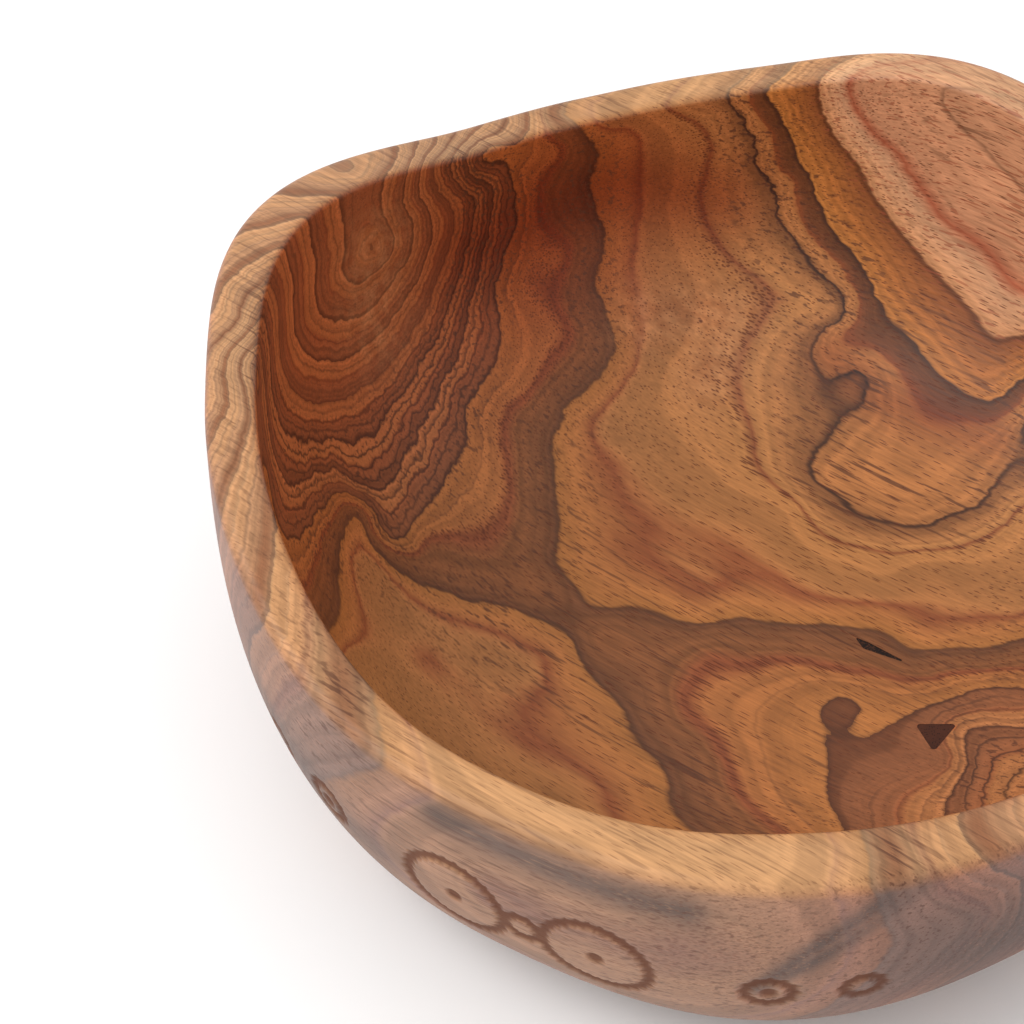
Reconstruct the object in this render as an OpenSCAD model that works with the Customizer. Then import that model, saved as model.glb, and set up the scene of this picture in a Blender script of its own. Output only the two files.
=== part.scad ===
// Hand-carved free-form bowl with a waving rim, carved from one block of teak.
// A drying check in its floor is filled, and a dead knot sits in a socket beside it.
// Millimetres, +Z up. The origin is the centre of the flat foot, on the table.
// -Y is the front, the side that carries the burnt ornament.

/* [Bowl] */
// Mean diameter of the bowl over the outside of its rim
bowl_d = 248; // [220:2:300]
// Mean height of the rim above the table
rim_h = 85; // [74:1:100]
// How strongly the rim waves up and down, in and out, and in thickness: 1 is as carved
waviness = 1; // [0:0.1:1.2]

/* [Wall] */
// Thickness of the wall at the rim, where it is thinnest
rim_t = 11.4; // [9:0.2:14]
// Thickness of the wood under the middle of the hollow
floor_t = 13; // [10:0.5:18]
// Rounding of the rim's outer edge
outer_round = 3.2; // [1:0.2:4]
// Rounding of the rim's inner edge
inner_round = 1.4; // [0.6:0.2:3]

/* [Curves] */
// Radius of the flat foot, as a share of the rim's radius
foot_share = 0.46; // [0.36:0.01:0.55]
// Fullness of the outside: 2 is a plain ellipse, more is fuller
outside_fullness = 2.8; // [2.2:0.1:3.4]
// Radius of the level floor, as a share of the hollow's radius
floor_share = 0.22; // [0.12:0.01:0.3]
// Fullness of the hollow
hollow_fullness = 2.4; // [2:0.1:2.8]

/* [Fillings] */
// Length of the filled check, along the grain
check_l = 12; // [8:0.5:14]
// Width of the check at its widest
check_w = 2.4; // [1.6:0.2:3.2]
// Depth of the check's filling below the middle of the hollow
check_depth = 4; // [2:0.5:6]
// Width of the dead knot
knot_w = 7; // [5:0.5:8]
// Depth of the dead knot below the middle of the hollow
knot_depth = 5; // [2:0.5:6]

/* [Hidden] */

// The carver's swells. Each one is where it stands round the rim, in degrees from +X
// towards +Y, how far it runs to either side, and how far it goes: out from the mean
// circle, up from the mean height, or into the hollow, which makes the wall thicker.
OUT = [[58, 30, 3.5], [152, 30, 6], [270, 32, 5.5]];
UP = [[63, 45, 17], [104, 24, 3], [166, 62, 19], [234, 40, -5], [270, 40, -1.5], [306, 40, -6]];
THICKER = [[45, 45, 1.5], [148, 36, 2], [274, 32, 4]];
// Between the swells the rim lies this far inside the mean circle and below the mean.
OUT_REST = -1.5;
UP_REST = -3;

// Facets round the bowl, and down each part of its section.
AROUND = 108;
WALL_STEPS = 16;
HOLLOW_STEPS = 18;
EDGE_STEPS = 3;

// The grain runs across the floor at this angle from +X.
GRAIN_ANGLE = -36;
// Where the check begins, and the knot's first corner, on the floor.
CHECK_AT = [27, 0.5];
KNOT_AT = [39.5, -28];
// Rounding of the fillings' thin ends and corners.
CHECK_END_R = 0.3;
KNOT_CORNER_R = 0.8;

// A swell rises and sinks like one turn of a cosine, and swells that meet add up.
function away(angle, middle) = abs((angle - middle + 540) % 360 - 180);
function swell(angle, s) =
    away(angle, s[0]) < s[1] ? s[2] * (1 + cos(180 * away(angle, s[0]) / s[1])) / 2 : 0;
function total(values, i = 0) = i < len(values) ? values[i] + total(values, i + 1) : 0;
function wave(angle, rest, swells) =
    waviness * (rest + total([for (s = swells) swell(angle, s)]));
function rim_radius(angle) = bowl_d / 2 + wave(angle, OUT_REST, OUT);
function rim_height(angle) = rim_h + wave(angle, UP_REST, UP);
function hollow_radius(angle) = rim_radius(angle) - rim_t - wave(angle, 0, THICKER);

// A quarter of a superellipse: at turn 0 it stands upright, at turn 90 it lies level.
function across(turn, flat_r, wall_r, fullness) =
    flat_r + (wall_r - flat_r) * pow(cos(turn), 2 / fullness);
function down(turn, top, bottom, fullness) =
    top - (top - bottom) * pow(sin(turn), 2 / fullness);

// Each list holds points of the section, [radius, height], at one angle round the bowl.
function outside_points(r, h) = [
    for (i = [WALL_STEPS:-1:1])
        let (turn = 90 * i / WALL_STEPS)
        [across(turn, r * foot_share, r, outside_fullness),
         down(turn, h - outer_round, 0, outside_fullness)]
];
function outer_edge_points(r, h) = [
    for (i = [0:EDGE_STEPS])
        let (turn = 90 * i / EDGE_STEPS)
        [r - outer_round * (1 - cos(turn)), h - outer_round * (1 - sin(turn))]
];
function inner_edge_points(r, h) = [
    for (i = [0:EDGE_STEPS])
        let (turn = 90 * i / EDGE_STEPS)
        [r + inner_round * (1 - sin(turn)), h - inner_round * (1 - cos(turn))]
];
function hollow_points(r, h) = [
    for (i = [1:HOLLOW_STEPS])
        let (turn = 90 * i / HOLLOW_STEPS)
        [across(turn, r * floor_share, r, hollow_fullness),
         down(turn, h - inner_round, floor_t, hollow_fullness)]
];
function section(angle) =
    let (r = rim_radius(angle), inner = hollow_radius(angle), h = rim_height(angle))
    concat(outside_points(r, h), outer_edge_points(r, h),
           inner_edge_points(inner, h), hollow_points(inner, h));

// The carved form: a section at every angle, from the foot over the rim to the floor.
module carved_form() {
    rings = len(section(0));
    points = [
        for (a = [0:AROUND - 1])
            let (angle = 360 * a / AROUND)
            for (p = section(angle)) [p[0] * cos(angle), p[0] * sin(angle), p[1]]
    ];
    function at(a, ring) = (a % AROUND) * rings + ring;
    skin = [
        for (a = [0:AROUND - 1], k = [0:rings - 2])
            for (f = [[at(a, k), at(a, k + 1), at(a + 1, k + 1)],
                      [at(a, k), at(a + 1, k + 1), at(a + 1, k)]]) f
    ];
    foot = [for (a = [0:AROUND - 1]) at(a, 0)];
    level_floor = [for (a = [AROUND - 1:-1:0]) at(a, rings - 1)];
    polyhedron(points, concat(skin, [foot, level_floor]), convexity = 6);
}

// The check's outline, a blunt head that runs out to a point along the grain,
// taken straight down into the floor.
module check_plug() {
    translate([CHECK_AT[0], CHECK_AT[1], floor_t - check_depth])
        rotate([0, 0, GRAIN_ANGLE])
            linear_extrude(height = rim_h)
                hull() {
                    circle(r = CHECK_END_R, $fn = 16);
                    translate([check_l / 4, -check_w / 4])
                        circle(d = check_w, $fn = 24);
                    translate([check_l, 0])
                        circle(r = CHECK_END_R, $fn = 16);
                }
}

// The knot's outline, a triangle with round corners, taken straight down.
module knot_plug() {
    translate([KNOT_AT[0], KNOT_AT[1], floor_t - knot_depth])
        linear_extrude(height = rim_h)
            hull() {
                for (corner = [[0, 0], [knot_w, -0.8], [0.35 * knot_w, -knot_w]])
                    translate(corner)
                        circle(r = KNOT_CORNER_R, $fn = 16);
            }
}

module bowl_body() {
    color("peru")
        difference() {
            carved_form();
            check_plug();
            knot_plug();
        }
}

// Both fillings are dressed flush with the hollow, so the carved form cuts their tops.
module check_filling() {
    color("#2E2019")
        intersection() {
            carved_form();
            check_plug();
        }
}

module dead_knot() {
    color("#4A2A1C")
        intersection() {
            carved_form();
            knot_plug();
        }
}

bowl_body();
check_filling();
dead_knot();
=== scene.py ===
# %% [markdown]
# # Dressing a hand-carved teak bowl
#
# The bowl is carved from one block of teak, so nearly all that the eye meets is wood:
# its waving rim, its growth rings where the gouge has cut through them, its pores and
# its oiled sheen. The CAD model already holds the size and the plain form. This lesson
# loads it, carves a finer copy, cuts and scorches an ornament into its front, seats
# the two fillings of the floor, and builds the finishes from nodes.

# %% Load the fixed frame
import math

import bmesh
import bpy
import numpy as np
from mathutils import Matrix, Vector


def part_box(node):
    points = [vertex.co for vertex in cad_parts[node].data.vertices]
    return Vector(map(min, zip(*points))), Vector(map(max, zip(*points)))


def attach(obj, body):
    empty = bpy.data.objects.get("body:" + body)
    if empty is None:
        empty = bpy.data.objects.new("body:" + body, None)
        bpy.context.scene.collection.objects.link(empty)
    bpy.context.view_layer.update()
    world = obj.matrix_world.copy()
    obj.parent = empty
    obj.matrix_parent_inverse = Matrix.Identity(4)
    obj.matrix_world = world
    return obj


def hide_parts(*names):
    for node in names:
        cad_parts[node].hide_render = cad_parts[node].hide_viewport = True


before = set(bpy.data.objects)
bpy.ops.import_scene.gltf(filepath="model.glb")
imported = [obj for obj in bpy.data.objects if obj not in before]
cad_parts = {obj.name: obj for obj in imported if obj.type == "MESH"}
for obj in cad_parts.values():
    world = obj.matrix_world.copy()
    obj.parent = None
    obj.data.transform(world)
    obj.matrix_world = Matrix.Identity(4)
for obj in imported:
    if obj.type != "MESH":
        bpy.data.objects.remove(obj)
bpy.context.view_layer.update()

MM = 0.001
scene = bpy.context.scene
print("CAD nodes:", sorted(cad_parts))

# %% [markdown]
# ## Camera
# A long lens from above the front left keeps the bowl's proportions calm. The bowl is
# cropped by the right and lower edges of the view, so the middle of the hollow, where
# the figure is richest, fills the picture.

# %% Camera
camera_data = bpy.data.cameras.new("camera")
camera_data.sensor_width = 36
camera_data.lens = 121.5
camera = bpy.data.objects.new("camera", camera_data)
camera.location = (-0.055, -0.552, 0.620)
camera.rotation_euler = (math.radians(44.41), 0, 0)
scene.collection.objects.link(camera)
scene.camera = camera
print("camera at", tuple(round(c, 3) for c in camera.location))

# %% [markdown]
# ## Small helpers for nodes
# Every finish below is a tree of nodes. Three short helpers keep the lessons about wood
# and not about wiring: one puts a node in a tree and feeds its sockets, one does sums,
# and one mixes two colours.

# %% Node helpers
def feed(tree, socket, value):
    """Gives a socket a plain value, or links another socket to it."""
    if isinstance(value, bpy.types.NodeSocket):
        tree.links.new(value, socket)
    else:
        socket.default_value = value


def add(tree, kind, inputs=None, **choices):
    """Puts a node in the tree, sets its choices and feeds the inputs that are named."""
    node = tree.nodes.new(kind)
    for name, value in choices.items():
        setattr(node, name, value)
    for name, value in (inputs or {}).items():
        feed(tree, node.inputs[name], value)
    return node


def sum_of(tree, operation, a, b=0.0, c=0.0):
    """One line of arithmetic on the values a, b and c."""
    node = add(tree, "ShaderNodeMath", operation=operation)
    for socket, value in zip(node.inputs, (a, b, c)):
        feed(tree, socket, value)
    return node.outputs[0]


def mixed(tree, share, a, b, blend="MIX"):
    """Colour a with a share of colour b."""
    node = add(tree, "ShaderNodeMix", data_type="RGBA", blend_type=blend)
    for socket, value in zip((node.inputs[0], node.inputs[6], node.inputs[7]), (share, a, b)):
        feed(tree, socket, value)
    return node.outputs[2]


def remap(tree, value, low, high, out_low=0.0, out_high=1.0):
    """Slides a value from one range smoothly into another, and holds it at the ends."""
    inputs = {0: value, 1: low, 2: high, 3: out_low, 4: out_high}
    return add(tree, "ShaderNodeMapRange", inputs, interpolation_type="SMOOTHSTEP").outputs[0]


def rgb(red, green, blue):
    """A screen colour, 0 to 255, as the linear light that nodes work in."""
    def linear(level):
        share = level / 255
        return share / 12.92 if share <= 0.04045 else ((share + 0.055) / 1.055) ** 2.4
    return (linear(red), linear(green), linear(blue), 1.0)


def new_material(name):
    """An empty material with a Principled shader, and the tree that holds it."""
    material = bpy.data.materials.new(name)
    material.use_nodes = True
    tree = material.node_tree
    return material, tree, tree.nodes["Principled BSDF"]


# %% [markdown]
# ## Floor and light
# The bowl stands on a plain white floor in soft daylight. A large lamp high on the left
# leaves the left inner wall in its own shade and lights the right one, which shows how
# deep the hollow is, and the white sky around fills the shadows.

# %% Floor
floor_mesh = bmesh.new()
bmesh.ops.create_grid(floor_mesh, x_segments=8, y_segments=8, size=2.5)
floor_data = bpy.data.meshes.new("floor")
floor_mesh.to_mesh(floor_data)
floor_mesh.free()
floor = bpy.data.objects.new("floor", floor_data)
floor.location.z = -0.0002
scene.collection.objects.link(floor)
white_paint, tree, shader = new_material("white_paint")
feed(tree, shader.inputs["Base Color"], (0.98, 0.98, 0.98, 1.0))
feed(tree, shader.inputs["Roughness"], 0.6)
floor_data.materials.append(white_paint)
print("floor is", round(floor.dimensions.x, 1), "m wide")

# %% Sky and lamp
sky = bpy.data.worlds.new("white_sky")
sky.use_nodes = True
sky.node_tree.nodes["Background"].inputs["Color"].default_value = (1.0, 1.0, 1.0, 1.0)
sky.node_tree.nodes["Background"].inputs["Strength"].default_value = 0.92
scene.world = sky


def lamp(name, place, target, size, power):
    """A square soft lamp at a place in metres that shines at a target."""
    data = bpy.data.lights.new(name, "AREA")
    data.shape = "SQUARE"
    data.size = size
    data.energy = power
    light = bpy.data.objects.new(name, data)
    light.location = place
    light.rotation_euler = (Vector(target) - Vector(place)).to_track_quat("-Z", "Y").to_euler()
    scene.collection.objects.link(light)
    return light


window = lamp("window", (-0.9, -0.3, 1.1), (0, 0, 0.05), 0.8, 9)
scene.view_settings.view_transform = "Standard"
print("lamp", window.name, "at", round(window.location.length, 2), "m")

# %% [markdown]
# ## The rim, measured
# The carver lets the rim wander: in and out by a few millimetres, up and down by more,
# and a little thicker where the hand allowed it. The CAD bowl already has those waves,
# one section every few degrees. Three numbers at each of those angles are all that a
# finer copy needs: how far out the rim reaches, how high it stands, and where the hollow
# begins. They are measured on the CAD node and joined by smooth closed curves.

# %% Measure the rim
CAD_SECTIONS = 108
INNER_ROUND = 1.4


def rim_samples():
    """The rim's outer radius, height and inner radius, in millimetres, at every section."""
    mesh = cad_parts["bowl_body"].data
    points = np.array([tuple(v.co) for v in mesh.vertices]) / MM
    reach = np.hypot(points[:, 0], points[:, 1])
    turn = np.arctan2(points[:, 1], points[:, 0]) / (2 * math.pi) * CAD_SECTIONS
    section = np.round(turn).astype(int) % CAD_SECTIONS
    rows = [section == k for k in range(CAD_SECTIONS)]
    outer = np.array([reach[row].max() for row in rows])
    height = np.array([points[row, 2].max() for row in rows])
    level = [row & (points[:, 2] > top - 0.01) for row, top in zip(rows, height)]
    inner = np.array([reach[row].min() for row in level]) - INNER_ROUND
    return outer, height, inner


def along(samples, angle):
    """A smooth closed curve through evenly spaced samples, read at an angle in radians."""
    step = np.asarray(angle) / (2 * math.pi) * len(samples)
    first = np.floor(step).astype(int)
    t = step - first
    a, b, c, d = (samples[(first + k) % len(samples)] for k in (-1, 0, 1, 2))
    return b + t / 2 * (c - a + t * (2 * a - 5 * b + 4 * c - d + t * (3 * (b - c) + d - a)))


RIM_RADIUS, RIM_HEIGHT, RIM_INNER = rim_samples()
for name, row in (("radius", RIM_RADIUS), ("height", RIM_HEIGHT),
                  ("thickness", RIM_RADIUS - RIM_INNER)):
    print("rim", name, row.min().round(1), "to", row.max().round(1), "mm")

# %% [markdown]
# ## The section
# Cut the bowl through its middle and the cut shows one closed outline: a flat foot, a
# full outer wall, a rounded rim, a hollow and a level floor. Both walls
# are quarters of a superellipse, a curve a little squarer than an ellipse, which is how
# a hand with a gouge rounds a bowl. The outline is walked in seven stretches, and a
# number from 0 to 7 says how far along it a point is.

# %% The section as a formula
FLOOR_THICKNESS = 13
OUTER_ROUND = 3.2
FOOT_SHARE = 0.46
OUTSIDE_FULLNESS = 2.8
FLOOR_SHARE = 0.22
HOLLOW_FULLNESS = 2.4
# How many edges each stretch has: foot, outside, outer edge, rim, inner edge, hollow, floor.
STRETCHES = (14, 60, 6, 4, 4, 72, 12)
FOOT, OUTSIDE, OUTER_EDGE, RIM, INNER_EDGE, HOLLOW, FLOOR = range(len(STRETCHES))


def quarter(t):
    """The turn of a superellipse, 0 to a right angle, so that the points lie about evenly."""
    return math.pi / 2 * (0.4 * t + 0.6 * np.sin(math.pi / 2 * t) ** 2)


def swell(turn, fullness):
    """How far across and how far down a superellipse has come at this turn, 0 to 1."""
    power = 2 / fullness
    return np.abs(np.cos(turn)) ** power, np.abs(np.sin(turn)) ** power


def carved(way, angle):
    """Points of the carved form, in millimetres, at a way along the section and an angle."""
    way, angle = np.asarray(way, float), np.asarray(angle, float)
    r, h = along(RIM_RADIUS, angle), along(RIM_HEIGHT, angle)
    inner = along(RIM_INNER, angle)
    stretch = np.clip(np.floor(way), FOOT, FLOOR)
    t = way - stretch
    out_across, out_down = swell(quarter(1 - t), OUTSIDE_FULLNESS)
    in_across, in_down = swell(quarter(t), HOLLOW_FULLNESS)
    bend = t * math.pi / 2
    wall_top, hollow_top = h - OUTER_ROUND, h - INNER_ROUND
    radius = np.select([stretch == k for k in range(7)], [
        r * FOOT_SHARE * t,
        r * FOOT_SHARE + r * (1 - FOOT_SHARE) * out_across,
        r - OUTER_ROUND * (1 - np.cos(bend)),
        (r - OUTER_ROUND) * (1 - t) + (inner + INNER_ROUND) * t,
        inner + INNER_ROUND * (1 - np.sin(bend)),
        inner * FLOOR_SHARE + inner * (1 - FLOOR_SHARE) * in_across,
        inner * FLOOR_SHARE * (1 - t)])
    height = np.select([stretch == k for k in range(7)], [
        np.zeros_like(r),
        wall_top * (1 - out_down),
        wall_top + OUTER_ROUND * np.sin(bend),
        h,
        h - INNER_ROUND * (1 - np.cos(bend)),
        hollow_top - (hollow_top - FLOOR_THICKNESS) * in_down,
        np.full_like(r, FLOOR_THICKNESS)])
    return np.stack([radius * np.cos(angle), radius * np.sin(angle), height], -1)


def hollow_height(x, y):
    """How high the hollow's surface stands over a point of the plan, in millimetres."""
    angle, radius = np.arctan2(y, x), np.hypot(x, y)
    inner = along(RIM_INNER, angle)
    top = along(RIM_HEIGHT, angle) - INNER_ROUND
    across = np.clip((radius / inner - FLOOR_SHARE) / (1 - FLOOR_SHARE), 0, 1)
    turn = np.arccos(across ** (HOLLOW_FULLNESS / 2))
    return top - (top - FLOOR_THICKNESS) * np.sin(turn) ** (2 / HOLLOW_FULLNESS)


print("floor of the hollow stands", round(float(hollow_height(0, 0)), 1), "mm up")

# %% [markdown]
# ## Spinning the blank
# A lathe would start the same way: one outline, turned round the middle. Spin makes all
# the faces, and every new point keeps the number that says where on the section it is.
# Moving each point to its place on the carved form then gives the free rim. A sculpted
# mesh would look as good, but it would drift from the CAD size.

# %% Spin and carve
AROUND = 320


def spun_blank():
    """The section spun once round the middle, with its way stored on every point."""
    shape = bmesh.new()
    way_of = shape.verts.layers.float.new("way")
    ways = [k + t / n for k, n in enumerate(STRETCHES) for t in range(n)] + [7.0]
    outline = []
    for way, point in zip(ways, carved(ways, np.zeros(len(ways)))):
        vert = shape.verts.new(Vector(point))
        vert[way_of] = way
        outline.append(vert)
    edges = [shape.edges.new(pair) for pair in zip(outline, outline[1:])]
    bmesh.ops.spin(shape, geom=outline + edges, cent=(0, 0, 0), axis=(0, 0, 1), dvec=(0, 0, 0),
                   angle=2 * math.pi, steps=AROUND, use_merge=True, use_duplicate=False)
    bmesh.ops.remove_doubles(shape, verts=shape.verts, dist=0.001)
    bmesh.ops.recalc_face_normals(shape, faces=shape.faces)
    return shape, way_of


def set_on_form(shape, way_of):
    """Moves every point to its own place on the carved form."""
    angle = [math.atan2(v.co.y, v.co.x) for v in shape.verts]
    way = [v[way_of] for v in shape.verts]
    for vert, point in zip(shape.verts, carved(way, angle)):
        vert.co = point


bowl, way_of = spun_blank()
set_on_form(bowl, way_of)
print("blank:", len(bowl.verts), "points,", len(bowl.faces), "faces")

# %% [markdown]
# ## The ornament
# A frieze is cut into the front of the wall and scorched: two linked rings with a small
# one between them, and small rings on either side, all with a comb of short teeth. A hot
# iron both sinks and darkens the line. Here the band is first divided finely, so that the line is real
# geometry and catches the light, and the same drawing later tells the finish where to
# scorch.

# %% The drawing of the frieze
BAND_HEIGHT = 43
LINE_WIDTH = 2.8
LINE_DEPTH = 0.5
# Each ring: its angle in degrees, and its radius in millimetres.
RINGS = ((-124, 12), (-108, 12), (-116, 4), (-142, 5), (-152, 4), (-91, 5), (-82, 4))
DOTS = (-124, -108, -142, -91)


def frieze_distance(points):
    """How far each point lies from the nearest line of the frieze, in millimetres."""
    turn = np.degrees(np.arctan2(points[:, 1], points[:, 0]))
    reach = np.hypot(points[:, 0], points[:, 1])
    up = points[:, 2] - BAND_HEIGHT
    best = np.full(len(points), 99.0)
    for angle, radius in RINGS:
        side = np.radians(turn - angle) * reach
        teeth = 0.5 * np.cos(round(2.5 * radius) * np.arctan2(up, side))
        gap = np.hypot(side, up) - radius
        best = np.minimum(best, np.maximum(np.abs(gap) - np.clip(teeth * gap, 0, 0.5), 0))
    for angle in DOTS:
        side = np.radians(turn - angle) * reach
        best = np.minimum(best, np.maximum(np.hypot(side, up) - 0.8, 0))
    outer = reach > along(RIM_INNER, np.radians(turn)) + 3
    return np.where(outer & (points[:, 2] < 70), best, 99.0)


def groove(distance):
    """The groove's share of full depth, with soft shoulders."""
    t = np.clip(1.25 - distance / (LINE_WIDTH / 2), 0, 1)
    return t * t * (3 - 2 * t)


# %% Divide the band and cut the lines
def in_band(vert):
    """Whether a point of the outer wall belongs to the band of the frieze."""
    turn = math.degrees(math.atan2(vert.co.y, vert.co.x))
    return OUTSIDE < vert[way_of] < OUTER_EDGE and -157 < turn < -75 and 22 < vert.co.z < 64


band = [e for e in bowl.edges if in_band(e.verts[0]) and in_band(e.verts[1])]
bmesh.ops.subdivide_edges(bowl, edges=band, cuts=3, use_grid_fill=True)
set_on_form(bowl, way_of)
bowl.normal_update()
depths = groove(frieze_distance(np.array([tuple(v.co) for v in bowl.verts]))) * LINE_DEPTH
for vert, depth in zip(bowl.verts, depths):
    vert.co -= vert.normal * depth
print("band:", len(band), "edges divided,", int((depths > 0).sum()), "points sunk")


# %% [markdown]
# ## The fillings
# A drying check and a dead knot lie in the floor. The maker cleans each one out, fills
# the check with dark resin and dust, leaves the knot in its bark, and sands both flush.
# So each is a plug in a socket of its own outline. The outline is the hull of a few
# upright pins, and the same hull cuts the socket and becomes the plug.

# %% Plugs
def hull_of_pins(pins, bottom, top):
    """The hull of upright pins, each (x, y, radius), as a closed shape in millimetres."""
    shape = bmesh.new()
    for x, y, radius in pins:
        for k in range(16):
            turn = 2 * math.pi * k / 16
            for z in (bottom, top):
                shape.verts.new((x + radius * math.cos(turn), y + radius * math.sin(turn), z))
    hull = bmesh.ops.convex_hull(shape, input=shape.verts)
    inside = {g for g in hull["geom_interior"] + hull["geom_unused"]
              if isinstance(g, bmesh.types.BMVert)}
    bmesh.ops.delete(shape, geom=list(inside), context="VERTS")
    caps = [e for e in shape.edges if abs(e.verts[0].co.z - e.verts[1].co.z) < 0.01]
    bmesh.ops.dissolve_limit(shape, angle_limit=0.01, verts=shape.verts, edges=caps)
    bmesh.ops.recalc_face_normals(shape, faces=shape.faces)
    return shape


def as_object(shape, name):
    """A finished shape in millimetres as an object in metres, at the origin."""
    bmesh.ops.scale(shape, verts=shape.verts, vec=(MM, MM, MM))
    data = bpy.data.meshes.new(name)
    shape.to_mesh(data)
    shape.free()
    piece = bpy.data.objects.new(name, data)
    scene.collection.objects.link(piece)
    return piece


GRAIN = math.radians(-36)
CHECK_LENGTH, CHECK_WIDTH = 12, 2.4
KNOT_WIDTH = 7


def check_pins():
    """The check: a blunt head that runs out to a point along the grain."""
    x, y = 27, 0.5
    for run, aside, radius in ((0, 0, 0.3), (3, -0.6, CHECK_WIDTH / 2), (CHECK_LENGTH, 0, 0.3)):
        yield (x + run * math.cos(GRAIN) - aside * math.sin(GRAIN),
               y + run * math.sin(GRAIN) + aside * math.cos(GRAIN), radius)


def knot_pins():
    """The dead knot: a triangle with round corners."""
    x, y = 39.5, -28
    for right, back in ((0, 0), (KNOT_WIDTH, -0.8), (0.35 * KNOT_WIDTH, -KNOT_WIDTH)):
        yield x + right, y + back, 0.8


CHECK_BOTTOM, KNOT_BOTTOM, CUTTER_TOP = 9, 8, 40
check_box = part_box("check_filling")
print("CAD check lies at", [round(c / MM, 1) for c in check_box[0]], "mm")

# %% Cut the sockets
bowl_piece = as_object(bowl, "teak_bowl")
for name, pins, bottom in (("check", check_pins(), CHECK_BOTTOM),
                           ("knot", knot_pins(), KNOT_BOTTOM)):
    cutter = as_object(hull_of_pins(pins, bottom, CUTTER_TOP), name + "_cutter")
    cut = bowl_piece.modifiers.new(name, "BOOLEAN")
    cut.operation = "DIFFERENCE"
    cut.solver = "EXACT"
    cut.object = cutter
    bpy.context.view_layer.update()
    cut_mesh = bpy.data.meshes.new_from_object(
        bowl_piece.evaluated_get(bpy.context.evaluated_depsgraph_get()))
    bowl_piece.modifiers.clear()
    bowl_piece.data = cut_mesh
    bpy.data.objects.remove(cutter)
bowl_piece.data.shade_smooth()
bowl_piece.data.set_sharp_from_angle(angle=math.radians(40))
print("bowl:", len(bowl_piece.data.vertices), "points,", len(bowl_piece.data.polygons), "faces")


# %% The plugs' dressed tops
def plug(name, pins, bottom, sink, rings):
    """A plug whose top is inset ring by ring and laid on the hollow, a little sunk."""
    shape = hull_of_pins(pins, bottom, CUTTER_TOP)
    top = max(shape.faces, key=lambda f: f.calc_center_median().z)
    for _ in range(rings):
        bmesh.ops.inset_region(shape, faces=[top], thickness=0.28, depth=0)
    for vert in shape.verts:
        if vert.co.z > CUTTER_TOP - 0.01:
            x, y, _ = vert.co
            vert.co.z = float(hollow_height(x, y)) - sink
    return as_object(shape, name)


check_piece = plug("check_resin", check_pins(), CHECK_BOTTOM, 0.12, 3)
knot_piece = plug("knot_plug", knot_pins(), KNOT_BOTTOM, 0.08, 5)
for piece in (check_piece, knot_piece):
    print(piece.name, len(piece.data.vertices), "points")

# %% [markdown]
# ## Where the growth rings run
# A tree lays a shell of wood every year, and a bowl cuts through those shells: the lines
# on its surface are the cut edges, so they run on from the hollow over the rim to the
# outside. A handful of points is chosen on each main line, with a number that grows
# from the pale heart at the far right outwards. A smooth field through those points
# then gives every part of the wood its place in the tree. Plain ring textures would
# give neat ovals, and this block has a fork and a knot in it.

# %% Places on the bowl
def wall_share(fall, flat_share, fullness):
    """How far out a wall stands after falling this share of its height: 1 at the top."""
    turn = math.asin(min(max(fall, 0), 1) ** (fullness / 2))
    return flat_share + (1 - flat_share) * math.cos(turn) ** (2 / fullness)


def standing(radius, angle, z):
    """A point at a radius, an angle in radians and a height."""
    return radius * math.cos(angle), radius * math.sin(angle), z


def on_floor(x, y):
    """A point of the hollow over a place of the plan."""
    return x, y, float(hollow_height(x, y))


def on_wall(degrees, z):
    """A point of the hollow's wall at an angle and a height."""
    angle = math.radians(degrees)
    top = float(along(RIM_HEIGHT, angle)) - INNER_ROUND
    share = wall_share((top - z) / (top - FLOOR_THICKNESS), FLOOR_SHARE, HOLLOW_FULLNESS)
    return standing(float(along(RIM_INNER, angle)) * share, angle, min(z, top))


def on_rim(degrees):
    """The middle of the rim's top at an angle."""
    angle = math.radians(degrees)
    middle = float(along(RIM_INNER, angle) + along(RIM_RADIUS, angle)) / 2
    return standing(middle, angle, float(along(RIM_HEIGHT, angle)))


def on_outside(degrees, z):
    """A point of the outer wall at an angle and a height."""
    angle = math.radians(degrees)
    top = float(along(RIM_HEIGHT, angle)) - OUTER_ROUND
    share = wall_share((top - z) / top, FOOT_SHARE, OUTSIDE_FULLNESS)
    return standing(float(along(RIM_RADIUS, angle)) * share, angle, z)


# %% [markdown]
# ## The growth lines, one by one
# Each line has a ring number and an ink: how black its edge is, from 0 to 1. Lines on
# the floor are places of the plan, which is easiest to think in. On a wall the plan
# is squeezed, so those lines are an angle round the bowl and a height. The rings round
# the high knot repeat, so a formula makes them.

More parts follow.
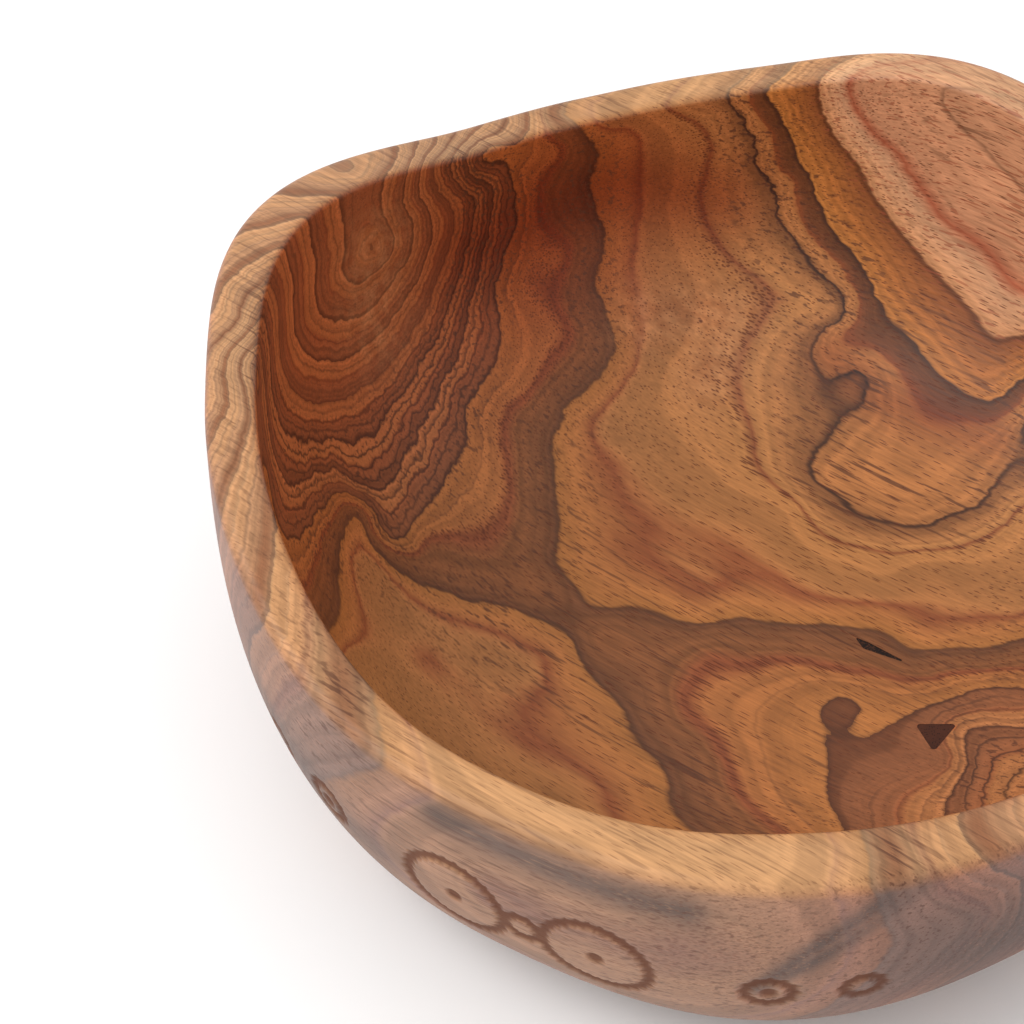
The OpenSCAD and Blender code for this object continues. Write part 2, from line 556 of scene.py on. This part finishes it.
# %% Growth lines, listed
# On the floor: ring number, ink, and the points, x and y in millimetres.
FLOOR_LINES = (
    # The black line that sweeps across the open golden floor.
    (3, 0.8, ((25, 75), (25, 65), (20, 50), (30, 40), (45, 35), (60, 40), (75, 55))),
    (2.7, 0.2, ((40, 60), (60, 55))),
    # Rows of big pores round the open floor.
    (3.5, 0.2, ((5, 65), (15, 45), (30, 30), (45, 28), (70, 35))),
    (3.65, 0.1, ((-15, 80), (-10, 65), (0, 50), (15, 35), (35, 22))),
    (3.8, 0.3, ((-30, 72), (-30, 55), (-20, 38), (-5, 25), (10, 20), (40, 10), (60, 5), (75, 10))),
    # The edge of the brown band, then its middle, then its far pores.
    (4, 0.5, ((-40, 70), (-45, 60), (-45, 45), (-45, 25), (-35, 10), (-10, 5), (10, 5), (25, 4),
              (40, -4), (60, -5), (75, 2))),
    (4.3, 0.3, ((-90, 20), (-70, 15), (-50, 15), (-35, 0), (-22, -10), (-12, -35), (5, -70))),
    (4.3, 0.2, ((-8, 0), (10, -1), (30, -4), (55, -10))),
    (4.5, 0.2, ((-50, 70), (-55, 45), (-60, 30), (-75, 22))),
    (4.5, 0.2, ((70, -15), (50, -12), (25, -10), (0, -8), (-10, -10), (-14, -22), (-5, -40),
                (12, -70))),
    # The golden tongue at the near left, with its pores.
    (4, 0.6, ((-95, 0), (-85, 10), (-70, 8), (-55, 8), (-45, 4), (-40, -2), (-30, -20),
              (-20, -40), (-5, -70))),
    (3.8, 0.3, ((-90, -8), (-75, -15), (-55, -28), (-35, -50), (-22, -70))),
    (3.7, 0.1, ((-90, -30), (-75, -45), (-55, -60), (-40, -75))),
    # The brown fork at the near right.
    (5, 0.5, ((85, -10), (60, -18), (45, -20), (23, -18), (25, -25), (17, -38), (17, -50),
              (22, -70))),
    (5.5, 0.2, ((85, -22), (60, -26), (45, -40), (35, -50), (32, -70))),
    (6, 0.6, ((90, -32), (65, -33), (50, -32), (48, -42), (44, -52), (44, -72))),
    (7, 0.4, ((90, -45), (70, -50), (60, -70))))
# On the hollow's wall: the same, with each point as an angle in degrees and a height.
WALL_LINES = (
    (0, 0.5, ((64, 92), (58, 84), (48, 74), (34, 68))),
    (0.5, 0.3, ((76, 92), (72, 80), (62, 62), (50, 54), (32, 55))),
    (1, 0.4, ((80, 92), (78, 80), (70, 60), (60, 48), (48, 42), (30, 45))),
    (2, 0.6, ((86, 88), (83, 75), (77, 55), (69, 42), (60, 34), (45, 32), (30, 35))),
    (2.6, 0.2, ((72, 34), (60, 28), (45, 27))),
    (3, 1, ((90, 84), (88, 76), (85, 62), (80, 48), (73, 36), (68, 28))),
    (3.5, 0.2, ((95, 80), (94, 60), (90, 45), (86, 32))),
    (3.7, 0.1, ((99, 75), (97, 40))),
    (3.8, 0.3, ((103, 80), (102, 60), (104, 40))),
    (4, 0.6, ((109, 80), (109, 68), (108, 55), (110, 42), (109, 32))),
    (4.5, 0.2, ((113, 80), (113, 50), (116, 35))),
    (5, 0.4, ((15, 40),)), (6, 0.4, ((0, 45),)), (7, 0.4, ((-12, 60),)))
# Where the rings cross the top of the rim: each angle with its ring number.
RIM_CROSSINGS = (
    (225, 4), (205, 5), (192, 6), (182, 7), (173, 8), (164, 9), (156, 10), (149, 11), (141, 12),
    (134, 11), (129, 9), (124, 7), (119, 6), (113, 4.2), (104, 3.7), (93, 3.3), (89, 3), (84, 2),
    (78, 1), (65, 0.3), (50, 0), (35, 0.5), (25, 3), (10, 5.5), (-5, 7), (-20, 8), (-35, 7),
    (-50, 6.5), (-60, 6), (-70, 5.2), (-76, 4.6), (-82, 4), (-90, 3.65), (-110, 3.65),
    (-125, 3.7))
# The outer wall: each angle and height with its ring number.
OUTER_RINGS = (
    (-90, 50, 3.6), (-90, 20, 4), (-120, 50, 3.5), (-120, 15, 4.1), (-145, 40, 4), (-145, 10, 4.6),
    (-70, 60, 4.5), (-72, 30, 5), (-55, 60, 6.5), (-58, 30, 6), (-40, 50, 7.5), (-20, 40, 8),
    (0, 60, 8.5), (0, 15, 6.5), (30, 50, 6), (50, 50, 3), (65, 70, 1.5), (60, 15, 4), (88, 50, 3.2),
    (105, 20, 4.5), (120, 60, 5), (138, 70, 8), (142, 30, 6.5), (165, 60, 8), (170, 25, 6),
    (190, 15, 5.5), (180, 60, 8))
# The underside: each place in millimetres with its ring number.
UNDER_FOOT = (((0, 0, 0), 4.9), ((50, -30, 0), 5.8), ((50, 30, 0), 5.3), ((0, 50, 0), 4.6),
              ((-50, 30, 0), 5.2), ((-50, -30, 0), 4.6), ((0, -50, 0), 5.3))


# %% All growth lines together
KNOT_ANGLE = 141
KNOT_HEIGHT = 75
KNOT_LEVEL = 12
KNOT_RINGS = 8
BLACK_FROM_RING = 5
# Each ring reaches this much further round and down than the one before, and its middle
# drifts this much to the left, in degrees and millimetres.
RING_REACH = 4.5
RING_DROP = 7
RING_DRIFT = 1.5
RIM_INK = 0.4
OUTER_INK = 0.5


def knot_ring(step):
    """A ring round the high knot: each one hangs lower, and wider on the left."""
    points = []
    for turn in range(-30, 211, 30):
        side, drop = math.cos(math.radians(turn)), math.sin(math.radians(turn))
        angle = KNOT_ANGLE + step * (RING_DRIFT + RING_REACH * side)
        points.append(on_wall(angle, KNOT_HEIGHT - RING_DROP * step * drop))
    return KNOT_LEVEL - step, 0.35 if step < BLACK_FROM_RING else 0.7, points


growth_lines = [(level, ink, [on_floor(*p) for p in row]) for level, ink, row in FLOOR_LINES]
growth_lines += [(level, ink, [on_wall(*p) for p in row]) for level, ink, row in WALL_LINES]
growth_lines += [knot_ring(step) for step in range(KNOT_RINGS)]
growth_lines += [(level, RIM_INK, [on_rim(angle)]) for angle, level in RIM_CROSSINGS]
growth_lines += [(level, OUTER_INK, [on_outside(angle, z)]) for angle, z, level in OUTER_RINGS]
growth_lines += [(level, RIM_INK, [place]) for place, level in UNDER_FOOT]
print("growth lines:", len(growth_lines))


# %% The growth field
SMOOTHING = 5.0
PORTIONS = 60


def growth_field(lines):
    """Solves for the smooth field through all points, and returns it as a function."""
    known = {point: (level, ink) for level, ink, points in lines for point in points}
    places = np.array(list(known), float)
    gap = np.linalg.norm(places[:, None, :] - places[None, :, :], axis=2)
    flat = np.c_[np.ones(len(places)), places]
    size = len(places) + 4
    system = np.zeros((size, size))
    system[:-4, :-4] = -np.sqrt(gap ** 2 + SMOOTHING ** 2)
    system[:-4, -4:] = flat
    system[-4:, :-4] = flat.T
    weights = np.linalg.solve(system, np.r_[np.array(list(known.values())), np.zeros((4, 2))])

    def field(points):
        """Level, ink, and how fast the level climbs along x, y and z, at each point."""
        rows = []
        for part in np.array_split(points, PORTIONS):
            apart = part[:, None, :] - places[None, :, :]
            cone = np.sqrt((apart ** 2).sum(axis=2) + SMOOTHING ** 2)
            value = weights[-4] + part @ weights[-3:] - cone @ weights[:-4]
            climb = weights[-3:, 0] - np.einsum("pq,pqk->pk", weights[:-4, 0] / cone, apart)
            rows.append(np.c_[value, climb])
        return np.concatenate(rows)
    return field


growth = growth_field(growth_lines)
print("field solved from", sum(len(line[2]) for line in growth_lines), "points")


# %% Marks of smoky streaks and painted shade, of a burr, and of deeper colour with painted shade
# Each mark: its strength, its reach in millimetres, and the points it runs through.
SMOKE_AND_SHADE_MARKS = (
    (0.9, 5, ((-70, -100, 70), (-50, -113, 70), (-20, -125, 70))),
    (0.9, 3, ((20, -125, 75), (5, -128, 60), (-5, -126, 45))),
    (0.9, 3, ((30, -120, 80), (15, -125, 65), (0, -128, 50))),
    (0.7, 9, ((-110, -50, 50), (-85, -85, 40))),
    # A broad painted shade on the outside to the right, away from the lamp.
    (0.9, 20, ((40, -115, 45), (70, -100, 45), (100, -60, 45))))
BURR_MARKS = (
    (1.0, 9, ((-20, 90, 35), (0, 90, 35), (-5, 80, 25))),
    (0.7, 12, ((-88, 70, 75), (-90, 65, 55))))
# Deeper red-brown wood on the far wall, with painted shade where that wall is turned from the lamp.
DEEP_TONE_AND_SHADE_MARKS = (
    (0.9, 15, ((-65, 90, 60), (-30, 103, 65), (-5, 106, 60))),
    (0.4, 16, ((-45, 92, 45), (-30, 98, 50))),
    (0.6, 7, ((25, 82, 28), (35, 72, 25), (65, 55, 25))))


def marked(points, marks):
    """How strongly the marks touch each point, 0 to 1, fading softly with distance."""
    best = np.zeros(len(points))
    for strength, reach, places in marks:
        places = np.array(places, float)
        for start, end in zip(places, places[1:]):
            run = end - start
            t = np.clip((points - start) @ run / (run @ run), 0, 1)
            away = np.linalg.norm(points - start - t[:, None] * run, axis=1)
            best = np.maximum(best, strength * np.exp(-(away / reach) ** 2))
    return best


# %% Store what the finishes need on the bowl's points
def store(mesh, name, values):
    """Keeps one number per point under a name that a finish can read."""
    mesh.attributes.new(name, "FLOAT", "POINT").data.foreach_set("value", values.astype("f"))


def points_of(mesh):
    """The points of a mesh, in millimetres."""
    return np.array([tuple(v.co) for v in mesh.vertices]) / MM


# These masks carry the painted reflection on the outer wall and the painted highlight on the rim's
# top.
def outside_and_rim_parts(points, normals):
    """How much each point belongs to the outer wall, and how much to the top of the rim."""
    x, y, z = points.T
    beyond = np.hypot(x, y) - along(RIM_INNER, np.arctan2(y, x))
    under = hollow_height(x, y) - z - 1
    share = np.clip(np.maximum(beyond / 2, under / 3), 0, 1)
    top = share * np.clip(normals[:, 2], 0, 1)
    return share - top, top


GRAIN_WAY = np.array([math.cos(GRAIN), math.sin(GRAIN), 0])
bowl_mesh = bowl_piece.data
bowl_points = points_of(bowl_mesh)
bowl_normals = np.array([tuple(v.normal) for v in bowl_mesh.vertices])
grown = growth(bowl_points)
climb = grown[:, 2:]
climb = climb - (climb * bowl_normals).sum(axis=1)[:, None] * bowl_normals
store(bowl_mesh, "ring", grown[:, 0])
store(bowl_mesh, "ink", np.clip(grown[:, 1], 0, 1))
store(bowl_mesh, "slope", np.clip(np.linalg.norm(climb, axis=1), 0.01, 0.5))
store(bowl_mesh, "end_grain", np.abs(bowl_normals @ GRAIN_WAY))
store(bowl_mesh, "scorch", groove(frieze_distance(bowl_points)))
store(bowl_mesh, "smoke_and_shade", marked(bowl_points, SMOKE_AND_SHADE_MARKS))
store(bowl_mesh, "burr", marked(bowl_points, BURR_MARKS))
store(bowl_mesh, "deep_tone_and_shade", marked(bowl_points, DEEP_TONE_AND_SHADE_MARKS))
outer_wall, rim_top = outside_and_rim_parts(bowl_points, bowl_normals)
store(bowl_mesh, "outer_wall", outer_wall)
store(bowl_mesh, "rim_top", rim_top)
print("ring levels on the bowl:", grown[:, 0].min().round(1), "to", grown[:, 0].max().round(1))

# %% [markdown]
# ## Wood close up
# Seen from near, teak is fibres, all running one way, and pores, short dark scratches
# that lie among them. The bowl and its knot both need them, so they are one group with
# named inputs and outputs. It works in millimetres, in a space whose X axis runs along
# the fibres: stretched noise gives the fibres, and long narrow cells give the pores.

# %% Fibres and pores, one group for every wood
def new_group(name, inputs, outputs):
    """An empty shader group with its sockets, given as name and kind."""
    group = bpy.data.node_groups.new(name, "ShaderNodeTree")
    for way, sockets in (("INPUT", inputs), ("OUTPUT", outputs)):
        for socket, kind in sockets:
            group.interface.new_socket(socket, in_out=way, socket_type="NodeSocket" + kind)
    entry = group.nodes.new("NodeGroupInput")
    result = group.nodes.new("NodeGroupOutput")
    return group, entry, result


def stretched(tree, position, lengths):
    """The position in cells as long as lengths, in millimetres along and across the grain."""
    inputs = {"Vector": position, "Scale": tuple(1 / length for length in lengths)}
    return add(tree, "ShaderNodeMapping", inputs).outputs[0]


def noise(tree, position, lengths, detail=2.0):
    """Soft noise, about -0.5 to 0.5, with cells of these lengths."""
    cells = stretched(tree, position, lengths)
    node = add(tree, "ShaderNodeTexNoise", {"Vector": cells, "Scale": 1.0, "Detail": detail})
    return sum_of(tree, "SUBTRACT", node.outputs["Fac"], 0.5)


def wood_group():
    """Fibres, soft clouds and pores, all from a position in millimetres along the grain."""
    group, entry, result = new_group(
        "wood_close_up", [("Position", "Vector"), ("Pore Size", "Float")],
        [("Fibre", "Float"), ("Cloud", "Float"), ("Pore", "Float")])
    position = entry.outputs["Position"]
    feed(group, result.inputs["Fibre"], noise(group, position, (14, 0.6, 0.6), 3.0))
    feed(group, result.inputs["Cloud"], noise(group, position, (22, 8, 8), 3.0))
    cells = stretched(group, position, (6, 0.58, 0.58))
    pores = add(group, "ShaderNodeTexVoronoi", {"Vector": cells, "Scale": 1.0})
    depth = sum_of(group, "DIVIDE", pores.outputs["Distance"], entry.outputs["Pore Size"])
    feed(group, result.inputs["Pore"], remap(group, depth, 0.5, 1.0, 1.0, 0.0))
    return group


WOOD = wood_group()


def grain_position(tree, turn):
    """Object coordinates in millimetres, turned so that X runs along the fibres."""
    place = add(tree, "ShaderNodeTexCoord").outputs["Object"]
    inputs = {"Vector": place, "Scale": (1 / MM, 1 / MM, 1 / MM), "Rotation": turn}
    return add(tree, "ShaderNodeMapping", inputs).outputs[0]


print("group", WOOD.name, "has", len(WOOD.nodes), "nodes")

# %% [markdown]
# ## Oiled teak
# The stored ring number says which year's wood a point is. A first colour ramp paints
# the numbers up to 5 one by one: the pale pink heart, a golden stripe, a dark band, the
# open golden figure, and the forked brown band. From 5 on, round the knot, the years look
# alike, so the number less its whole part goes through a second ramp. On top of that,
# a thin charcoal line is drawn at every quarter of a ring, as strong as the stored ink.
# The stored slope, in rings per millimetre, turns ring numbers into millimetres, so that
# a line is as thin where the rings lie far apart as where they crowd.

# %% Ring colours
YOUNG = (
    (-1, (206, 150, 112)), (0.4, (202, 142, 104)), (0.5, (162, 88, 60)), (0.6, (212, 158, 118)),
    (0.95, (202, 142, 96)), (1, (120, 66, 34)), (1.12, (144, 84, 44)), (1.5, (172, 104, 50)),
    (1.97, (186, 118, 56)), (2, (84, 46, 26)), (2.1, (104, 60, 32)), (2.4, (120, 68, 38)),
    (2.5, (146, 78, 42)), (2.62, (174, 112, 62)), (2.97, (178, 116, 66)), (3, (90, 56, 34)),
    (3.06, (140, 90, 52)), (3.3, (172, 114, 66)), (3.47, (180, 122, 70)), (3.5, (144, 82, 48)),
    (3.54, (178, 120, 68)), (3.78, (178, 118, 68)), (3.8, (128, 68, 40)), (3.84, (168, 106, 58)),
    (3.97, (180, 116, 60)), (4, (104, 64, 40)), (4.08, (120, 74, 44)), (4.4, (134, 82, 46)),
    (4.5, (144, 76, 44)), (4.58, (168, 104, 56)), (5, (170, 108, 56)))
OLD = (
    (0, (112, 64, 38)), (0.1, (138, 84, 52)), (0.45, (152, 92, 56)), (0.5, (152, 86, 50)),
    (0.6, (172, 110, 64)), (1, (178, 114, 68)))


def ramp(tree, value, stops, low, high):
    """A colour ramp over the values low to high, with stops given as value and colour."""
    share = sum_of(tree, "DIVIDE", sum_of(tree, "SUBTRACT", value, low), high - low)
    node = add(tree, "ShaderNodeValToRGB", {"Fac": share})
    elements = node.color_ramp.elements
    while len(elements) < len(stops):
        elements.new(0.5)
    for element, (place, colour) in zip(elements, stops):
        element.position = (place - low) / (high - low)
        element.color = rgb(*colour)
    return node.outputs["Color"]


# %% The figure of the rings
def attribute(tree, name):
    """A number stored on the mesh."""
    return add(tree, "ShaderNodeAttribute", attribute_name=name).outputs["Fac"]


def bell(tree, value, width):
    """1 at value 0, falling away like a bell over the width."""
    share = sum_of(tree, "DIVIDE", value, width)
    power = sum_of(tree, "MULTIPLY", sum_of(tree, "MULTIPLY", share, share), -1)
    return sum_of(tree, "EXPONENT", power)


def ragged_level(tree, position, ink):
    """The ring number, pushed to and fro along the fibres, most where the ink is strong."""
    sway = sum_of(tree, "MULTIPLY", noise(tree, position, (30, 7, 7), 2.0), 5.0)
    tear = sum_of(tree, "MULTIPLY", noise(tree, position, (9, 1.6, 1.6), 2.0), 2.0)
    push = sum_of(tree, "ADD", sway, tear)
    push = sum_of(tree, "MULTIPLY", push, sum_of(tree, "MULTIPLY_ADD", ink, 0.9, 0.3))
    slope = sum_of(tree, "MINIMUM", attribute(tree, "slope"), 0.16)
    return sum_of(tree, "MULTIPLY_ADD", push, slope, attribute(tree, "ring"))


def ring_colour(tree, position):
    """The colour of the wood with its charcoal lines; the level, its year and the ink."""
    ink, slope = attribute(tree, "ink"), attribute(tree, "slope")
    level = ragged_level(tree, position, ink)
    year = sum_of(tree, "FRACT", level)
    young = ramp(tree, level, YOUNG, -1, 5)
    colour = mixed(tree, sum_of(tree, "GREATER_THAN", level, 5), young,
                   ramp(tree, year, OLD, 0, 1))
    quarter_year = sum_of(tree, "FRACT", sum_of(tree, "MULTIPLY", level, 4))
    after = sum_of(tree, "DIVIDE", sum_of(tree, "DIVIDE", quarter_year, 4), slope)
    before = sum_of(tree, "SUBTRACT", sum_of(tree, "DIVIDE", 0.25, slope), after)
    near = sum_of(tree, "MINIMUM", after, sum_of(tree, "MULTIPLY", before, 2))
    quarter = sum_of(tree, "MULTIPLY", bell(tree, near, 0.55), remap(tree, level, 4.4, 4.9, 0.1))
    since = sum_of(tree, "DIVIDE", year, slope)
    until = sum_of(tree, "SUBTRACT", sum_of(tree, "DIVIDE", 1.0, slope), since)
    near = sum_of(tree, "MINIMUM", since, sum_of(tree, "MULTIPLY", until, 2))
    whole = bell(tree, near, 0.8)
    line = sum_of(tree, "MULTIPLY", sum_of(tree, "MAXIMUM", whole, quarter), ink)
    smoky = sum_of(tree, "EXPONENT", sum_of(tree, "DIVIDE", since, -2.5))
    smoky = sum_of(tree, "MULTIPLY", smoky, remap(tree, ink, 0.4, 1.0, 0.0, 0.45))
    dark = sum_of(tree, "MAXIMUM", line, smoky)
    return mixed(tree, dark, colour, rgb(62, 38, 28)), level, year, ink


# %% Teak
def oiled_teak():
    """The bowl's wood, with the scorched frieze."""
    material, tree, shader = new_material("oiled_teak")
    position = grain_position(tree, (0, 0, -GRAIN))
    colour, level, year, ink = ring_colour(tree, position)
    close = add(tree, "ShaderNodeGroup", node_tree=WOOD)
    feed(tree, close.inputs["Position"], position)
    row = sum_of(tree, "ADD", bell(tree, sum_of(tree, "SUBTRACT", level, 4.52), 0.07),
                 bell(tree, sum_of(tree, "SUBTRACT", level, 3.52), 0.05))
    size = sum_of(tree, "MULTIPLY_ADD", row, 0.22, remap(tree, level, 4.6, 5.2, 0.3, 0.22))
    feed(tree, close.inputs["Pore Size"], size)
    end_grain = remap(tree, attribute(tree, "end_grain"), 0.35, 0.95)
    colour = mixed(tree, end_grain, colour, rgb(255, 216, 200), "MULTIPLY")
    burr = attribute(tree, "burr")
    curl = remap(tree, noise(tree, position, (8, 3, 3), 3.0), -0.2, 0.2)
    curl = mixed(tree, curl, rgb(152, 92, 56), rgb(196, 136, 90))
    colour = mixed(tree, sum_of(tree, "MULTIPLY", burr, 0.6), colour, curl)
    cells = stretched(tree, position, (7, 5, 5))
    pins = add(tree, "ShaderNodeTexVoronoi", {"Vector": cells, "Scale": 1.0}).outputs["Distance"]
    pins = sum_of(tree, "MULTIPLY", remap(tree, pins, 0.07, 0.14, 1.0, 0.0), burr)
    colour = mixed(tree, pins, colour, rgb(96, 52, 34))
    # Deeper colour on the far wall, and painted shade there.
    deep_tone_and_shade = attribute(tree, "deep_tone_and_shade")
    colour = mixed(tree, deep_tone_and_shade, colour, rgb(196, 150, 130), "MULTIPLY")
    # The outer wall is greyed: partly a greyer, drier outside wood, partly a painted reflection of the
    # white floor.
    outside = attribute(tree, "outer_wall")
    colour = mixed(tree, sum_of(tree, "MULTIPLY", outside, 0.55), colour, rgb(132, 112, 104))
    # The rim's top is lightened: its sanded end grain, and a painted highlight.
    rim_top = attribute(tree, "rim_top")
    colour = mixed(tree, sum_of(tree, "MULTIPLY", rim_top, 0.35), colour, rgb(222, 180, 134))
    stripe = bell(tree, sum_of(tree, "SUBTRACT", year, 0.16), 0.15)
    stripe = sum_of(tree, "MULTIPLY", stripe, remap(tree, level, 3.7, 4.3, 0.15, 0.7))
    colour = mixed(tree, sum_of(tree, "MULTIPLY", stripe, rim_top), colour, rgb(122, 66, 36))
    # Grey smoky streaks on the outer wall, and a broad painted shade on its right side.
    smoke_and_shade = sum_of(tree, "MULTIPLY", attribute(tree, "smoke_and_shade"), outside)
    smoke_and_shade = sum_of(tree, "MULTIPLY", smoke_and_shade, remap(tree, close.outputs["Fibre"], -0.3, 0.0))
    colour = mixed(tree, smoke_and_shade, colour, rgb(84, 68, 62))
    fibre = sum_of(tree, "MULTIPLY_ADD", close.outputs["Fibre"], 0.8, 1.0)
    cloud = sum_of(tree, "MULTIPLY_ADD", close.outputs["Cloud"], 0.4, 1.0)
    season = add(tree, "ShaderNodeTexNoise", {"W": level, "Scale": 9.0, "Detail": 4.0},
                 noise_dimensions="1D").outputs["Fac"]
    season = remap(tree, season, 0.25, 0.75, 0.82, 1.16)
    shade = sum_of(tree, "MULTIPLY", sum_of(tree, "MULTIPLY", fibre, cloud), season)
    grey = add(tree, "ShaderNodeCombineColor", {0: shade, 1: shade, 2: shade}).outputs[0]
    colour = mixed(tree, 1.0, colour, grey, "MULTIPLY")
    band = bell(tree, sum_of(tree, "SUBTRACT", level, 4.2), 0.25)
    where = sum_of(tree, "MAXIMUM", remap(tree, ink, 0.15, 0.7), band)
    strokes = remap(tree, noise(tree, position, (24, 1.0, 1.0), 2.0), 0.06, 0.16, 0.0, 0.75)
    strokes = sum_of(tree, "MULTIPLY", strokes, where)
    colour = mixed(tree, strokes, colour, rgb(84, 48, 32))
    outside_and_rim = sum_of(tree, "ADD", outside, rim_top)
    pore = sum_of(tree, "MULTIPLY", close.outputs["Pore"], remap(tree, outside_and_rim, 0, 1, 1.0, 0.45))
    colour = mixed(tree, sum_of(tree, "MULTIPLY", pore, 0.8), colour, rgb(92, 42, 22))
    dash = noise(tree, position, (7, 0.7, 0.7), 1.0)
    dash = sum_of(tree, "MULTIPLY", remap(tree, dash, 0.1, 0.16), remap(tree, level, 1.3, 1.0))
    colour = mixed(tree, sum_of(tree, "MULTIPLY", dash, 0.6), colour, rgb(150, 78, 52))
    scorch = attribute(tree, "scorch")
    colour = mixed(tree, sum_of(tree, "MULTIPLY", scorch, 0.85), colour, rgb(94, 52, 32))
    feed(tree, shader.inputs["Base Color"], colour)
    feed(tree, shader.inputs["Specular IOR Level"], 0.28)
    rough = sum_of(tree, "MULTIPLY_ADD", close.outputs["Fibre"], 0.15, 0.46)
    rough = sum_of(tree, "MULTIPLY_ADD", scorch, 0.3, rough)
    feed(tree, shader.inputs["Roughness"], rough)
    relief = sum_of(tree, "MULTIPLY_ADD", pore, -0.6, close.outputs["Fibre"])
    bump = add(tree, "ShaderNodeBump", {"Height": relief, "Strength": 0.25, "Distance": 0.0003})
    feed(tree, shader.inputs["Normal"], bump.outputs[0])
    return material


teak = oiled_teak()
bowl_mesh.materials.clear()
bowl_mesh.materials.append(teak)
print("teak has", len(teak.node_tree.nodes), "nodes")


# %% [markdown]
# ## Knot wood and resin
# A dead knot is denser and darker than the wood around it, and its fibres stand upright,
# so its pores show as dots. The resin is nearly black, with specks of the dust that was
# stirred into it, and it is rougher than the oiled wood.

# %% Knot wood
def knot_wood():
    """Dark dense wood, cut across its fibres."""
    material, tree, shader = new_material("knot_wood")
    position = grain_position(tree, (0, math.pi / 2, 0))
    close = add(tree, "ShaderNodeGroup", node_tree=WOOD)
    feed(tree, close.inputs["Position"], position)
    feed(tree, close.inputs["Pore Size"], 0.3)
    tone = sum_of(tree, "MULTIPLY_ADD", close.outputs["Cloud"], 1.6, 0.5)
    colour = mixed(tree, tone, rgb(40, 22, 17), rgb(86, 46, 30))
    colour = mixed(tree, close.outputs["Pore"], colour, rgb(22, 13, 10))
    feed(tree, shader.inputs["Base Color"], colour)
    rough = sum_of(tree, "MULTIPLY_ADD", close.outputs["Fibre"], 0.3, 0.6)
    feed(tree, shader.inputs["Roughness"], rough)
    feed(tree, shader.inputs["Specular IOR Level"], 0.2)
    return material


# %% Dark resin
def dark_resin():
    """Near-black resin with specks of wood dust."""
    material, tree, shader = new_material("dark_resin")
    position = grain_position(tree, (0, 0, -GRAIN))
    dust = noise(tree, position, (0.5, 0.4, 0.4), 3.0)
    colour = mixed(tree, remap(tree, dust, -0.05, 0.25), rgb(28, 18, 15), rgb(84, 50, 34))
    feed(tree, shader.inputs["Base Color"], colour)
    feed(tree, shader.inputs["Specular IOR Level"], 0.2)
    feed(tree, shader.inputs["Roughness"], sum_of(tree, "MULTIPLY_ADD", dust, 0.4, 0.6))
    return material


check_piece.data.materials.append(dark_resin())
knot_piece.data.materials.append(knot_wood())
print("materials:", sorted(m.name for m in bpy.data.materials))

# %% [markdown]
# ## Handing the pieces over
# Each piece rides on the bowl's one body, and the CAD part that it stands for is hidden.

# %% Bodies and CAD parts
for piece, part, finish in ((bowl_piece, "bowl_body", "oiled_teak"),
                            (check_piece, "check_filling", "dark_resin"),
                            (knot_piece, "dead_knot", "knot_wood")):
    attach(piece, "root")
    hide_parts(part)
    print(piece.name, "stands for", part)
